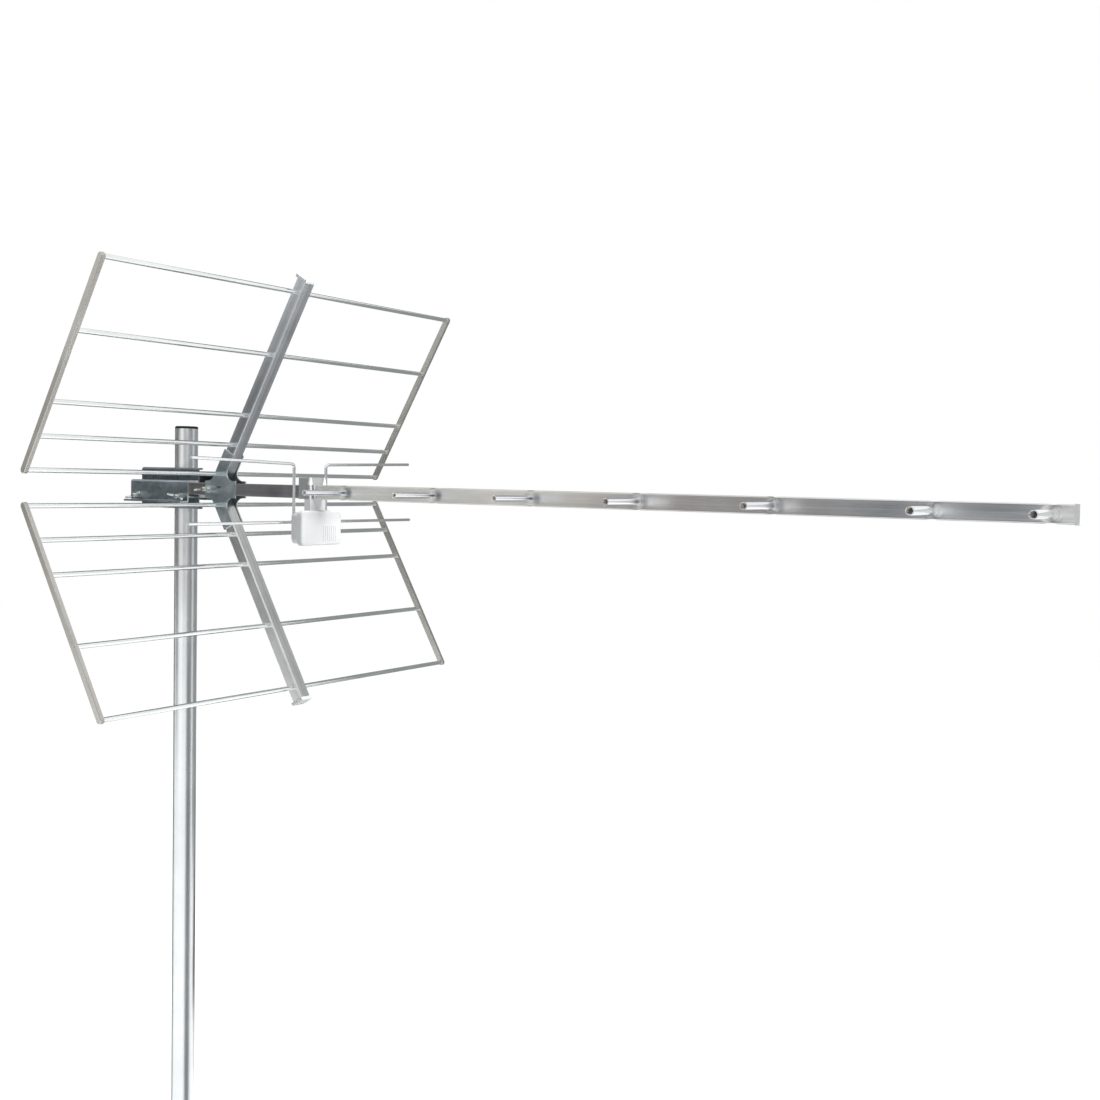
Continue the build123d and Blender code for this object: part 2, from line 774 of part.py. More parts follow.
with BuildPart() as coax_socket:
    with BuildSketch(across(box_back + box_wall)):
        with Locations((0, -socket_drop)):
            Rectangle(socket_body_size, socket_body_size)
    extrude(amount=board_place - box_back - box_wall)
    with BuildSketch(across(box_back + box_wall)):
        with Locations((0, -socket_drop)):
            Circle(socket_thread_diameter / 2)
    extrude(amount=-box_wall - socket_thread_length)
    with BuildSketch(across(box_back)):
        with Locations((0, -socket_drop)):
            RegularPolygon(socket_nut_width / 2, 6, major_radius=False)
    extrude(amount=-socket_nut_thickness)
    with BuildSketch(across(box_back - socket_thread_length)):
        with Locations((0, -socket_drop)):
            Circle(socket_bore / 2)
    extrude(amount=socket_thread_length, mode=Mode.SUBTRACT)
save(coax_socket, "coax_socket")
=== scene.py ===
"""UHF television antenna on its mast: finishes, threads, studio and camera.

Lengths and places are in metres. Colours are screen levels from 0 to 255 where rgb() takes them.
"""

from math import cos, pi, radians, sin

import bpy
from mathutils import Matrix, Vector


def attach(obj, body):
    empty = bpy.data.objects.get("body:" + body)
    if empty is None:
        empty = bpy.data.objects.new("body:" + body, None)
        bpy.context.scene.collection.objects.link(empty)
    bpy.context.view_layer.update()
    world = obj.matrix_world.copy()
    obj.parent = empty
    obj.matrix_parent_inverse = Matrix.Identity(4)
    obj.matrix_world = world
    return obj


MM = 0.001

# Places and sizes that the source also gives
BOOM_Y = -42 * MM
BOOM_Z = 1100 * MM
CLAMP_BOLT_X = (-52 * MM, 52 * MM)
CLAMP_BOLT_Z = BOOM_Z - 13.4 * MM
CLAMP_BOLT_END = BOOM_Y - 29.1 * MM
HUB_BOLT_X = 115 * MM
HUB_BOLT_END = BOOM_Y - 28.1 * MM
BOLT_RADIUS = 3 * MM
BOLT_TAIL = 6.3 * MM
BOLT_PITCH = 1 * MM
SOCKET_END = 308 * MM
SOCKET_Z = BOOM_Z - 60 * MM
SOCKET_RADIUS = 4.75 * MM
SOCKET_THREAD = 8.8 * MM
SOCKET_PITCH = 0.8 * MM
# Each director's place along the boom and its radius
DIRECTORS = [
    (402 * MM, 4 * MM),
    (571 * MM, 4 * MM),
    (739 * MM, 4 * MM),
    (903 * MM, 5 * MM),
    (1090 * MM, 5 * MM),
    (1285 * MM, 5 * MM),
    (1414 * MM, 5 * MM),
]
WING_ANGLE = radians(60)

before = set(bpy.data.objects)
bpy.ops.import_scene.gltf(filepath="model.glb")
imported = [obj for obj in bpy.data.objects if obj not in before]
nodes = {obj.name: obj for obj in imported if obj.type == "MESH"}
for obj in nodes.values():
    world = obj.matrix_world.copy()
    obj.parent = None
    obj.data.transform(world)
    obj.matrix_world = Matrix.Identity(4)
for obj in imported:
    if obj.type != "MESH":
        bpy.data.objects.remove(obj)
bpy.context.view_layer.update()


class Value:
    """A socket in a finish's tree, so that its maths reads as a Python expression."""

    def __init__(self, finish, socket):
        self.finish = finish
        self.socket = socket

    def maths(self, operation, *inputs):
        return self.finish.node("ShaderNodeMath", {"operation": operation}, *inputs)

    def __add__(self, other):
        return self.maths("ADD", self, other)

    def __radd__(self, other):
        return self.maths("ADD", other, self)

    def __sub__(self, other):
        return self.maths("SUBTRACT", self, other)

    def __rsub__(self, other):
        return self.maths("SUBTRACT", other, self)

    def __mul__(self, other):
        return self.maths("MULTIPLY", self, other)

    def __pow__(self, other):
        return self.maths("POWER", self, other)

    def __abs__(self):
        return self.maths("ABSOLUTE", self)

    def either(self, other):
        """1 where this or the other is 1."""
        return self.maths("MAXIMUM", self, other)

    def rise(self, low, high):
        """Smooth step from 0 at low to 1 at high."""
        settings = {"interpolation_type": "SMOOTHSTEP"}
        return self.finish.node("ShaderNodeMapRange", settings, self, low, high, 0.0, 1.0)


class Finish:
    """A material, or the world, made of nodes. Every node comes from node(), except colour mixes."""

    def __init__(self, name, owner=None):
        self.owner = owner or bpy.data.materials.new(name)
        self.owner.use_nodes = True
        self.tree = self.owner.node_tree
        self.tree.nodes.clear()

    def node(self, kind, settings=None, *inputs, output=0, **named):
        made = self.tree.nodes.new(kind)
        for key, value in (settings or {}).items():
            if key == "stops":
                self.set_stops(made.color_ramp, value)
            else:
                setattr(made, key, value)
        for index, value in enumerate(inputs):
            self.join(made.inputs[index], value)
        for key, value in named.items():
            self.join(made.inputs[key.replace("_", " ")], value)
        return Value(self, made.outputs[output]) if made.outputs else None

    def join(self, socket, value):
        if isinstance(value, Value):
            self.tree.links.new(value.socket, socket)
        else:
            socket.default_value = value

    @staticmethod
    def set_stops(ramp, stops):
        while len(ramp.elements) < len(stops):
            ramp.elements.new(1.0)
        for element, (place, colour) in zip(ramp.elements, stops):
            element.position = place
            element.color = (*colour, 1.0)

    def place(self, repeats=(1.0, 1.0, 1.0), turn=(0.0, 0.0, 0.0)):
        """Object coordinates, turned and then repeated so many times per metre."""
        raw = self.node("ShaderNodeTexCoord", output="Object")
        still = (0, 0, 0)
        stretch = tuple(1.0 / times for times in repeats)
        return self.node("ShaderNodeMapping", {"vector_type": "TEXTURE"}, raw, still, turn, stretch)

    def split(self, vector):
        """The X, Y and Z of a vector."""
        parts = self.node("ShaderNodeSeparateXYZ", None, vector).socket.node
        return [Value(self, part) for part in parts.outputs]

    def noise(self, at, scale=1.0, detail=3.0):
        return self.node("ShaderNodeTexNoise", None, Vector=at, Scale=scale, Detail=detail, Roughness=0.55)

    def mix(self, factor, first, second):
        """Colour between first and second."""
        made = self.tree.nodes.new("ShaderNodeMix")
        made.data_type = "RGBA"
        first_input, second_input, colour_output = made.inputs[6], made.inputs[7], made.outputs[2]
        self.join(made.inputs[0], factor)
        self.join(first_input, first)
        self.join(second_input, second)
        return Value(self, colour_output)

    def bump(self, height, strength, distance, **over):
        """Relief, on top of another one where Normal is given."""
        sockets = {"Strength": strength, "Distance": distance, "Height": height, **over}
        return self.node("ShaderNodeBump", None, **sockets)

    def ray_is(self, kind):
        return self.node("ShaderNodeLightPath", output=f"Is {kind} Ray")

    def sees_background(self):
        """1 for camera, glossy and transmission rays, which see the white background."""
        return self.ray_is("Camera").either(self.ray_is("Glossy")).either(self.ray_is("Transmission"))

    def finish(self, **sockets):
        shader = self.node("ShaderNodeBsdfPrincipled", None, **sockets)
        self.node("ShaderNodeOutputMaterial", None, shader)
        return self.owner


def rgb(*levels):
    """Colour from screen levels."""
    return tuple(((v / 255 + 0.055) / 1.055) ** 2.4 for v in levels) + (1.0,)


# How often drawing marks repeat per metre: across the piece in two directions, and along it
FINE_MARKS = (900, 900, 3)
BROAD_MARKS = (160, 160, 1.5)
# How often tarnish repeats per metre along X, Y and Z: on most metal, on the front boom, on the directors
TARNISH = (14, 14, 14)
BOOM_TARNISH = (10, 30, 30)
DIRECTOR_TARNISH = (20, 20, 20)

# Turns that bring local Z onto the line along which each piece was drawn
ALONG_X = (0, pi / 2, 0)
ALONG_Y = (pi / 2, 0, 0)
ALONG_Z = (0, 0, 0)
ALONG_UPPER = (0, pi / 2 - WING_ANGLE, 0)
ALONG_LOWER = (0, pi / 2 + WING_ANGLE, 0)

# How far the boom's wall is drawn in round a director's rim, and how deep
DISH_RIM = 1 * MM
DISH_REACH = 8 * MM
DISH_DEPTH = 0.6 * MM
# Painted shade on the boom beside the first five directors, standing in for the shaded side of each dish:
# how deep, where, how wide and what colour
DISH_SHADE_DEPTHS = (0.9, 0.9, 0.7, 0.6, 0.6)
DISH_SHADE_SIDE = 6 * MM
DISH_SHADE_CORE = 1 * MM
DISH_SHADE_REACH = 10.5 * MM
DISH_SHADE_COLOUR = (104, 108, 114)

# Where a director's wall ends inside, from its outer radius
BORE_START = 0.5 * MM
BORE_FULL = 0.8 * MM
BORE_COLOUR = (252, 250, 249)

# Painted highlight on the edges of zinc-plated sheets
EDGE_HIGHLIGHT_COLOUR = (222, 230, 226)

# How deep each finish's fine relief is
DRAWN_RELIEF = 0.03 * MM
DIRECTOR_RELIEF = 0.02 * MM
ZINC_RELIEF = 0.08 * MM
MOULDED_RELIEF = 0.03 * MM


def drawn_metal(name, dark, light, roughness, turn=ALONG_Z, streak=0.65, relief=DRAWN_RELIEF):
    """Drawn or extruded aluminium: fine lines along one direction, with cloudy tarnish."""
    f = Finish(name)
    lines = f.noise(f.place(FINE_MARKS, turn), detail=4.0)
    broad = f.noise(f.place(BROAD_MARKS, turn), detail=2.0)
    cloud = f.noise(f.place(TARNISH), detail=4.0)
    grain = (lines * 0.5 + broad * 0.5).rise(low=0.3, high=0.7)
    tone = grain * streak + cloud.rise(low=0.35, high=0.7) * (1 - streak)
    return f.finish(
        Base_Color=f.mix(tone, rgb(*dark), rgb(*light)),
        Metallic=1.0,
        Roughness=roughness + (lines - 0.5) * 0.12 + (cloud - 0.5) * 0.08,
        Normal=f.bump(lines, 0.2, relief),
    )


def distance_to(f, at, along, up):
    """Distance from the line along Y that passes through X = along and Z = up."""
    x, _, z = f.split(at)
    return ((x - along) ** 2.0 + (z - up) ** 2.0) ** 0.5


def dished_boom(name, dark, light, roughness):
    """The front boom: extrusion lines, painted shade beside the first directors, and the wall drawn in round
    each director's hole.
    """
    f = Finish(name)
    at = f.place()
    lines = f.noise(f.place(FINE_MARKS, ALONG_X), detail=4.0)
    broad = f.noise(f.place(BROAD_MARKS, ALONG_X), detail=2.0)
    cloud = f.noise(f.place(BOOM_TARNISH), detail=4.0)
    grain = (lines * 0.4 + broad * 0.6).rise(low=0.3, high=0.7)
    tone = grain * 0.6 + cloud.rise(low=0.35, high=0.7) * 0.4
    clean = f.mix(tone, rgb(*dark), rgb(*light))
    # Painted shade: a darker patch to the right of each of the first five directors, in place of the shaded
    # side of its dish
    dish_shade = 0.0
    for (place, radius), depth in zip(DIRECTORS, DISH_SHADE_DEPTHS):
        away = distance_to(f, at, place + radius + DISH_SHADE_SIDE, BOOM_Z)
        dish_shade = (1 - away.rise(low=DISH_SHADE_CORE, high=DISH_SHADE_REACH)) * depth + dish_shade
    wall = 0.0
    for place, radius in DIRECTORS:
        away = distance_to(f, at, place, BOOM_Z)
        wall = away.rise(low=radius - DISH_RIM, high=radius + DISH_REACH) + wall
    drawn_in = f.bump(wall, 1.0, DISH_DEPTH)
    return f.finish(
        Base_Color=f.mix(dish_shade, clean, rgb(*DISH_SHADE_COLOUR)),
        Metallic=1.0,
        Roughness=roughness + (lines - 0.5) * 0.1 + (cloud - 0.5) * 0.08,
        Normal=f.bump(lines, 0.2, DRAWN_RELIEF, Normal=drawn_in),
    )


def director_tube(name, place, radius):
    """Bright drawn tube, with a dull grey bore."""
    f = Finish(name)
    lines = f.noise(f.place(FINE_MARKS, ALONG_Y), detail=4.0)
    cloud = f.noise(f.place(DIRECTOR_TARNISH))
    away = distance_to(f, f.place(), place, BOOM_Z)
    bore = 1 - away.rise(low=radius - BORE_FULL, high=radius - BORE_START)
    skin = f.mix(lines.rise(low=0.3, high=0.7), rgb(226, 229, 234), rgb(250, 251, 253))
    return f.finish(
        Base_Color=f.mix(bore, skin, rgb(*BORE_COLOUR)),
        Metallic=1.0,
        Roughness=0.16 + (cloud - 0.5) * 0.1 + bore * 0.6,
        Normal=f.bump(lines, 0.15, DIRECTOR_RELIEF),
    )


def highlight_across_x(f):
    """1 on faces that look along X, such as the ends of a folded channel, which get a painted highlight."""
    x, _, _ = f.split(f.node("ShaderNodeTexCoord", output="Normal"))
    return abs(x).rise(low=0.6, high=0.8)


def highlight_round_y(f):
    """1 on faces that don't look along Y, such as the rim of an upright plate, which gets a painted
    highlight.
    """
    _, y, _ = f.split(f.node("ShaderNodeTexCoord", output="Normal"))
    return 1 - abs(y).rise(low=0.4, high=0.7)


def zinc_steel(name, dark, light, roughness, crystals=60.0, edge_highlight=None):
    """Passivated zinc on pressed steel: faint crystals, rolled grain, duller patches, and a painted
    highlight on the edges that a mask picks.
    """
    f = Finish(name)
    at = f.place()
    crystal = f.node("ShaderNodeTexVoronoi", {"feature": "F1"}, output="Color", Vector=at,
                     Scale=crystals * 3)
    shade = f.node("ShaderNodeSeparateColor", None, crystal, output="Red")
    cloud = f.noise(at, scale=crystals * 0.4, detail=5.0)
    fine = f.noise(at, scale=crystals * 22)
    tone = shade * 0.18 + cloud.rise(low=0.3, high=0.75) * 0.6 + fine * 0.22
    skin = f.mix(tone, rgb(*dark), rgb(*light))
    return f.finish(
        # Painted highlight: the masked edges are given a pale colour
        Base_Color=f.mix(edge_highlight(f), skin, rgb(*EDGE_HIGHLIGHT_COLOUR)) if edge_highlight else skin,
        Metallic=0.85,
        Roughness=roughness + (cloud - 0.5) * 0.2 + (shade - 0.5) * 0.08,
        Normal=f.bump(fine * 0.6 + cloud * 0.4, 0.3, ZINC_RELIEF),
    )


def moulded(name, colour, roughness, coat=0.0):
    """Moulded plastic with a very fine texture and a faint variation of tone."""
    f = Finish(name)
    at = f.place()
    cloud = f.noise(at, scale=25.0)
    fine = f.noise(at, scale=2200.0, detail=2.0)
    light = rgb(*colour)
    dark = tuple(level * 0.93 for level in light[:3]) + (1.0,)
    return f.finish(
        Base_Color=f.mix(cloud.rise(low=0.2, high=0.7), dark, light),
        Roughness=roughness + (cloud - 0.5) * 0.1,
        Coat_Weight=coat,
        Normal=f.bump(fine, 0.35, MOULDED_RELIEF),
    )


mast_tube = drawn_metal("mast tube", dark=(228, 232, 233), light=(243, 246, 247), roughness=0.32,
                        streak=0.3, relief=0.01 * MM)
front_boom_metal = dished_boom("front boom metal", dark=(204, 204, 202), light=(238, 238, 236),
                               roughness=0.23)
rear_boom_metal = drawn_metal("rear boom metal", dark=(112, 112, 115), light=(152, 152, 157),
                              roughness=0.38, turn=ALONG_X, streak=0.4)
rod_look = {"dark": (234, 238, 238), "light": (245, 248, 248), "roughness": 0.15, "turn": ALONG_Y,
            "streak": 0.2, "relief": 0.002 * MM}
rod_metal = drawn_metal("rod metal", **rod_look)
wire_metal = drawn_metal("wire metal", **rod_look)
# Painted shade: the upper rib is given a darker colour than the lower rib, which is the same metal
upper_rib_shaded_metal = drawn_metal("upper rib shaded metal", dark=(170, 174, 178), light=(222, 225, 228),
                              roughness=0.3, turn=ALONG_UPPER)
lower_rib_metal = drawn_metal("lower rib metal", dark=(204, 206, 206), light=(246, 247, 246),
                              roughness=0.3, turn=ALONG_LOWER)
strip_look = {"dark": (200, 198, 192), "light": (216, 214, 208), "roughness": 0.42, "streak": 0.1,
              "relief": 0.0}
upper_strip_metal = drawn_metal("upper strip metal", turn=ALONG_UPPER, **strip_look)
lower_strip_metal = drawn_metal("lower strip metal", turn=ALONG_LOWER, **strip_look)
clamp_steel = zinc_steel("clamp steel", dark=(128, 138, 145), light=(184, 194, 201), roughness=0.38,
                         edge_highlight=highlight_across_x)
jaw_steel = zinc_steel("jaw steel", dark=(90, 100, 108), light=(142, 152, 160), roughness=0.38)
hub_steel = zinc_steel("hub steel", dark=(152, 164, 170), light=(207, 217, 223), roughness=0.36,
                       crystals=45.0, edge_highlight=highlight_round_y)
bright_zinc = zinc_steel("bright zinc", dark=(196, 202, 196), light=(246, 249, 244), roughness=0.16,
                         crystals=110.0)
white_plastic = moulded("white plastic", (245, 246, 247), roughness=0.34, coat=0.15)
grey_plastic = moulded("grey plastic", (176, 181, 180), roughness=0.3, coat=0.2)
cap_plastic = moulded("cap plastic", (240, 242, 242), roughness=0.45)
black_plastic = moulded("black plastic", (14, 14, 15), roughness=0.7)
board_lacquer = moulded("board lacquer", (40, 92, 56), roughness=0.4)
brass = zinc_steel("plated brass", dark=(160, 146, 100), light=(210, 196, 150), roughness=0.3,
                   crystals=110.0)
director_metal = [
    director_tube(f"director metal {number + 1}", place, radius)
    for number, (place, radius) in enumerate(DIRECTORS)
]

finishes = {
    "mast": mast_tube,
    "mast_cap": black_plastic,
    "front_boom": front_boom_metal,
    "rear_boom": rear_boom_metal,
    "boom_end_cap": white_plastic,
    "clamp_channel": clamp_steel,
    "mast_jaw_near": jaw_steel,
    "mast_jaw_far": jaw_steel,
    "hub_plate_near": hub_steel,
    "hub_plate_far": hub_steel,
    "upper_rib": upper_rib_shaded_metal,
    "lower_rib": lower_rib_metal,
    "upper_rib_cap": cap_plastic,
    "lower_rib_cap": cap_plastic,
    "dipole_near": wire_metal,
    "dipole_far": wire_metal,
    "feed_housing": white_plastic,
    "feed_cover": white_plastic,
    "dipole_insulator": grey_plastic,
    "matching_board": board_lacquer,
    "wire_terminals": brass,
    "coax_socket": brass,
    "clamp_bolts": bright_zinc,
    "clamp_washers": bright_zinc,
    "wing_nuts": bright_zinc,
    "hub_bolt": bright_zinc,
    "hub_washer": bright_zinc,
    "hub_nut": bright_zinc,
}
for name, node in nodes.items():
    if "_rod_" in name:
        finish = rod_metal
    elif "_strip_" in name:
        finish = upper_strip_metal if name.startswith("upper") else lower_strip_metal
    elif name.startswith("director_"):
        finish = director_metal[int(name[-1]) - 1]
    else:
        finish = finishes[name]
    node.data.materials.clear()
    node.data.materials.append(finish)


# Threads on the ends of the bolts and on the socket
STEPS_PER_TURN = 20
RIDGE_SIDES = 4
RIDGE_SHARE = 0.36


def add_input(tree, name, value):
    socket = tree.interface.new_socket(name, in_out="INPUT", socket_type="NodeSocketFloat")
    socket.default_value = value
    return socket.identifier


def thread_tree(material):
    """Geometry nodes that wind one sharp ridge round the Z axis, from the origin upwards."""
    tree = bpy.data.node_groups.new("thread", "GeometryNodeTree")
    sizes = {
        "Radius": add_input(tree, "Radius", BOLT_RADIUS),
        "Length": add_input(tree, "Length", BOLT_TAIL),
        "Pitch": add_input(tree, "Pitch", BOLT_PITCH),
    }
    tree.interface.new_socket("Geometry", in_out="OUTPUT", socket_type="NodeSocketGeometry")
    given = tree.nodes.new("NodeGroupInput")
    turns = tree.nodes.new("ShaderNodeMath")
    turns.operation = "DIVIDE"
    spiral = tree.nodes.new("GeometryNodeCurveSpiral")
    spiral.inputs["Resolution"].default_value = STEPS_PER_TURN
    ridge = tree.nodes.new("GeometryNodeCurvePrimitiveCircle")
    ridge.inputs["Resolution"].default_value = RIDGE_SIDES
    ridge_radius = tree.nodes.new("ShaderNodeMath")
    ridge_radius.operation = "MULTIPLY"
    ridge_radius.inputs[1].default_value = RIDGE_SHARE
    sweep = tree.nodes.new("GeometryNodeCurveToMesh")
    sweep.inputs["Fill Caps"].default_value = True
    real = tree.nodes.new("GeometryNodeRealizeInstances")
    paint = tree.nodes.new("GeometryNodeSetMaterial")
    paint.inputs["Material"].default_value = material
    out = tree.nodes.new("NodeGroupOutput")
    for source, target in (
        (given.outputs["Length"], turns.inputs[0]),
        (given.outputs["Pitch"], turns.inputs[1]),
        (turns.outputs[0], spiral.inputs["Rotations"]),
        (given.outputs["Radius"], spiral.inputs["Start Radius"]),
        (given.outputs["Radius"], spiral.inputs["End Radius"]),
        (given.outputs["Length"], spiral.inputs["Height"]),
        (given.outputs["Pitch"], ridge_radius.inputs[0]),
        (ridge_radius.outputs[0], ridge.inputs["Radius"]),
        (spiral.outputs["Curve"], sweep.inputs["Curve"]),
        (ridge.outputs["Curve"], sweep.inputs["Profile Curve"]),
        (sweep.outputs["Mesh"], real.inputs["Geometry"]),
        (real.outputs["Geometry"], paint.inputs["Geometry"]),
        (paint.outputs["Geometry"], out.inputs["Geometry"]),
    ):
        tree.links.new(source, target)
    return tree, sizes


def make_thread(name, material, end, inward, sizes):
    """Thread from a bolt's end, running inward along its axis."""
    tree, identifiers = thread_tree(material)
    maker = bpy.data.objects.new(name, bpy.data.meshes.new(name))
    bpy.context.scene.collection.objects.link(maker)
    modifier = maker.modifiers.new("thread", "NODES")
    modifier.node_group = tree
    for key, value in sizes.items():
        modifier[identifiers[key]] = value
    graph = bpy.context.evaluated_depsgraph_get()
    mesh = bpy.data.meshes.new_from_object(maker.evaluated_get(graph))
    maker.modifiers.remove(modifier)
    turned = Vector((0, 0, 1)).rotation_difference(Vector(inward)).to_matrix().to_4x4()
    mesh.transform(Matrix.Translation(end) @ turned)
    maker.data = mesh
    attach(maker, "root")


bolt_thread = {"Radius": BOLT_RADIUS, "Length": BOLT_TAIL, "Pitch": BOLT_PITCH}
for hand, x in zip(("rear", "front"), CLAMP_BOLT_X):
    make_thread(f"{hand}_clamp_bolt_thread", bright_zinc, (x, CLAMP_BOLT_END, CLAMP_BOLT_Z), (0, 1, 0),
                bolt_thread)
make_thread("hub_bolt_thread", bright_zinc, (HUB_BOLT_X, HUB_BOLT_END, BOOM_Z), (0, 1, 0), bolt_thread)
socket_thread = {"Radius": SOCKET_RADIUS, "Length": SOCKET_THREAD, "Pitch": SOCKET_PITCH}
make_thread("socket_thread", brass, (SOCKET_END, BOOM_Y, SOCKET_Z), (1, 0, 0), socket_thread)


# Studio: white all round. Reflections don't show the lamps, and nothing else shows the cards
def area_light(name, place, target, size, power):
    lamp = bpy.data.lights.new(name, "AREA")
    lamp.shape = "RECTANGLE"
    lamp.size, lamp.size_y = size
    lamp.energy = power
    holder = bpy.data.objects.new(name, lamp)
    holder.location = place
    holder.visible_glossy = False
    holder.rotation_euler = (Vector(target) - Vector(place)).to_track_quat("-Z", "Y").to_euler()
    bpy.context.scene.collection.objects.link(holder)


def stage_sheet(name, corners, material):
    """Flat four-cornered sheet that belongs to the studio."""
    mesh = bpy.data.meshes.new(name)
    mesh.from_pydata(corners, [], [(0, 1, 2, 3)])
    mesh.materials.append(material)
    sheet = bpy.data.objects.new(name, mesh)
    bpy.context.scene.collection.objects.link(sheet)


def level_card(name, corners, height, material):
    """Card that lies level at one height, with its corners given in X and Y."""
    stage_sheet(name, [(x, y, height) for x, y in corners], material)


def upright_card(name, start, end, low, high, material):
    """Card that stands over the line from start to end, between two heights."""
    stage_sheet(name, [(*start, low), (*end, low), (*end, high), (*start, high)], material)


WHITE = (1.0, 1.0, 1.0, 1.0)
AMBIENT = 0.31
AMBIENT_TINT = (0.96, 1.0, 0.99, 1.0)

world = bpy.data.worlds.new("studio")
bpy.context.scene.world = world
surroundings = Finish("surroundings", world)
ambient = surroundings.node("ShaderNodeBackground", None, AMBIENT_TINT, AMBIENT)
backdrop = surroundings.node("ShaderNodeBackground", None, WHITE, 1.0)
shown = surroundings.node("ShaderNodeMixShader", None, surroundings.sees_background(), ambient, backdrop)
surroundings.node("ShaderNodeOutputWorld", None, shown)

area_light("key", place=(3.4, 0.2, 2.4), target=(0.4, 0, 1.0), size=(1.8, 1.8), power=96.0)
area_light("top", place=(0.2, 0.1, 3.6), target=(0.3, 0, 1.0), size=(2.2, 2.0), power=54.0)

# The floor glows white to the camera, and its darker part under the glow catches the shadow
FLOOR_REACH = 8.0
FLOOR_GREY = (0.8, 0.8, 0.8, 1.0)
CATCHER_GREY = (0.35, 0.35, 0.35, 1.0)
GLOW = 0.89

pale = Finish("pale floor")
dull = pale.node("ShaderNodeBsdfDiffuse", None, FLOOR_GREY)
catcher = pale.node("ShaderNodeBsdfDiffuse", None, CATCHER_GREY)
glow = pale.node("ShaderNodeEmission", None, WHITE, GLOW)
glowing = pale.node("ShaderNodeAddShader", None, catcher, glow)
floor_paint = pale.node("ShaderNodeMixShader", None, pale.sees_background(), dull, glowing)
pale.node("ShaderNodeOutputMaterial", None, floor_paint)
level_card("floor", [(-FLOOR_REACH, -FLOOR_REACH), (FLOOR_REACH, -FLOOR_REACH), (FLOOR_REACH, FLOOR_REACH),
                     (-FLOOR_REACH, FLOOR_REACH)], 0, pale.owner)


def card_paint(name, stops, low=0.0, high=1.0):
    """Paint seen only in reflections, its tone running along X from low to high."""
    f = Finish(name)
    along, _, _ = f.split(f.node("ShaderNodeTexCoord", output="Object"))
    part = f.node("ShaderNodeMapRange", None, along, low, high, 0.0, 1.0)
    tone = f.node("ShaderNodeValToRGB", {"stops": stops}, part)
    clear = f.node("ShaderNodeBsdfTransparent")
    paint = f.node("ShaderNodeEmission", None, tone, 1.0)
    shown = f.node("ShaderNodeMixShader", None, f.ray_is("Glossy"), clear, paint)
    f.node("ShaderNodeOutputMaterial", None, shown)
    return f.owner


def plain_card(name, tone):
    return card_paint(name, [(0.0, tone), (1.0, tone)])


# What the boom's near side reflects, from its feed end to its end cap
BOOM_CARD_LEFT, BOOM_CARD_RIGHT = -0.6, 1.3
boom_paint = card_paint("boom card", [
    (0.0, (0.62, 0.62, 0.60)),
    (0.13, (0.65, 0.645, 0.62)),
    (0.29, (0.71, 0.69, 0.655)),
    (0.42, (0.73, 0.70, 0.67)),
    (0.44, (0.66, 0.62, 0.58)),
    (0.46, (0.46, 0.43, 0.42)),
    (0.52, (0.39, 0.37, 0.36)),
    (0.72, (0.36, 0.35, 0.35)),
    (0.77, (0.26, 0.28, 0.30)),
    (0.80, (0.04, 0.08, 0.12)),
    (0.82, (0.02, 0.06, 0.10)),
    (0.835, (0.72, 0.69, 0.70)),
    (0.87, (0.66, 0.63, 0.64)),
    (0.885, (0.24, 0.26, 0.31)),
    (0.905, (0.03, 0.07, 0.11)),
    (0.945, (0.02, 0.05, 0.09)),
    (0.965, (0.85, 0.83, 0.86)),
    (1.0, (0.78, 0.76, 0.79)),
], BOOM_CARD_LEFT, BOOM_CARD_RIGHT)
dark_paint = plain_card("dark card", (0.13, 0.135, 0.14))
front_paint = plain_card("front card", (0.22, 0.225, 0.23))
grey_paint = plain_card("grey card", (0.30, 0.305, 0.31))
black_paint = plain_card("black card", (0.04, 0.042, 0.045))
bright_paint = plain_card("bright card", (1.35, 1.35, 1.35))

# The near cards stand in one row. Over the boom card is a gap, so that the mast's top sees the bright card
NEAR_Y = -1.0
BOOM_CARD_LOW, BOOM_CARD_HIGH = 0.85, 1.38
GAP_LEFT, GAP_RIGHT, GAP_LOW = -0.12, 0.3, 1.17
upright_card("boom card", (BOOM_CARD_LEFT, NEAR_Y), (BOOM_CARD_RIGHT, NEAR_Y), BOOM_CARD_LOW, GAP_LOW,
             boom_paint)
upright_card("left boom card", (BOOM_CARD_LEFT, NEAR_Y), (GAP_LEFT, NEAR_Y), GAP_LOW, BOOM_CARD_HIGH,
             boom_paint)
upright_card("right boom card", (GAP_RIGHT, NEAR_Y), (BOOM_CARD_RIGHT, NEAR_Y), GAP_LOW, BOOM_CARD_HIGH,
             boom_paint)
# What the clamp, the hub and the ribs reflect, and after it the dark side of the first dishes
RIB_CARD_LEFT, DISH_CARD_LEFT = -1.5, -3.4
upright_card("rib card", (RIB_CARD_LEFT, NEAR_Y), (BOOM_CARD_LEFT, NEAR_Y), 0.45, 1.75, dark_paint)
upright_card("dish card", (DISH_CARD_LEFT, NEAR_Y), (RIB_CARD_LEFT, NEAR_Y), 0.7, 1.5, black_paint)
# What the far halves of the rods reflect
FAR_Y = 0.75
upright_card("far card", (-0.3, FAR_Y), (0.95, FAR_Y), 0.2, 1.8, grey_paint)

# Dark upright band on the right half of the mast. Mats lie on the floor, just over it
MAT = MM
TALL = 2.4
FRONT_X, FRONT_LOW_Y, FRONT_HIGH_Y = 2.9, -1.6, 1.2
upright_card("front card", (FRONT_X, FRONT_LOW_Y), (FRONT_X, FRONT_HIGH_Y), MAT, TALL, front_paint)
level_card("front mat", [(0.05, -0.03), (FRONT_X, FRONT_LOW_Y), (FRONT_X, FRONT_HIGH_Y), (0.05, 0.01)], MAT,
           front_paint)
# Bright upright band on the left half of the mast
BRIGHT_Y = -2.8
upright_card("bright card", (-0.25, BRIGHT_Y), (0.75, BRIGHT_Y), MAT, TALL, bright_paint)
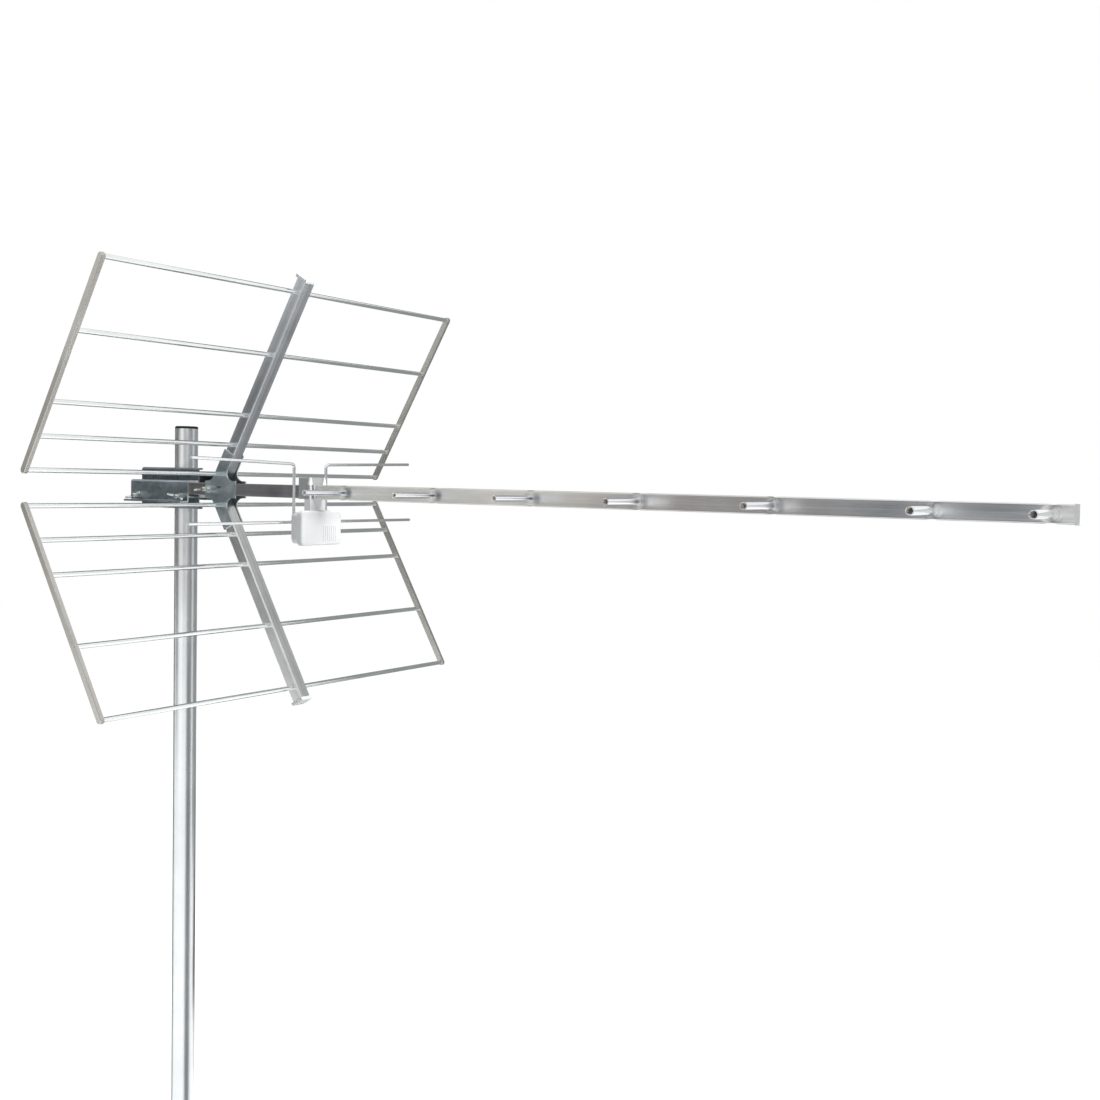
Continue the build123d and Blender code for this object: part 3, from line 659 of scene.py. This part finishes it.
# Dark left edge of the mast, and the thin lines along the rods
BACK_X, BACK_LOW_Y, BACK_HIGH_Y = -1.6, -0.35, 1.9
BACK_RIGHT_X, BACK_START_Y, BACK_END_Y = 0.34, 0.5, 2.6
CEILING = 2.2
upright_card("back card", (BACK_X, BACK_LOW_Y), (BACK_X, BACK_HIGH_Y), MAT, CEILING, dark_paint)
level_card("left mat", [(BACK_X, BACK_LOW_Y), (-0.05, -0.02), (-0.05, BACK_START_Y), (BACK_X, BACK_START_Y)],
           MAT, dark_paint)
level_card("back mat", [(BACK_X, BACK_START_Y), (BACK_RIGHT_X, BACK_START_Y), (0.5, BACK_END_Y),
                        (BACK_X, BACK_END_Y)], MAT, black_paint)
level_card("ceiling card", [(BACK_X, BACK_START_Y), (BACK_RIGHT_X, BACK_START_Y),
                            (BACK_RIGHT_X, BACK_HIGH_Y), (BACK_X, BACK_HIGH_Y)], CEILING, dark_paint)

# Camera, fitted to the photograph
CAMERA_PLACE = Vector((1.7229, -1.5241, 1.1236))
YAW = radians(122.869)
PITCH = radians(-3.009)
ROLL = radians(1.192)
FOCAL_PIXELS = 1302.67
IMAGE_WIDTH = 1100.0

camera_data = bpy.data.cameras.new("camera")
camera_data.sensor_width = 36.0
camera_data.sensor_fit = "HORIZONTAL"
camera_data.lens = FOCAL_PIXELS / IMAGE_WIDTH * camera_data.sensor_width
camera_data.clip_start = 0.05
camera_data.clip_end = 60.0
camera = bpy.data.objects.new("camera", camera_data)
bpy.context.scene.collection.objects.link(camera)
forward = Vector((cos(YAW) * cos(PITCH), sin(YAW) * cos(PITCH), sin(PITCH)))
level_right = forward.cross(Vector((0, 0, 1))).normalized()
level_up = level_right.cross(forward)
right = cos(ROLL) * level_right + sin(ROLL) * level_up
upward = -sin(ROLL) * level_right + cos(ROLL) * level_up
facing = Matrix((right, upward, -forward)).transposed()
camera.matrix_world = Matrix.Translation(CAMERA_PLACE) @ facing.to_4x4()
bpy.context.scene.camera = camera
bpy.context.scene.view_settings.view_transform = "Standard"
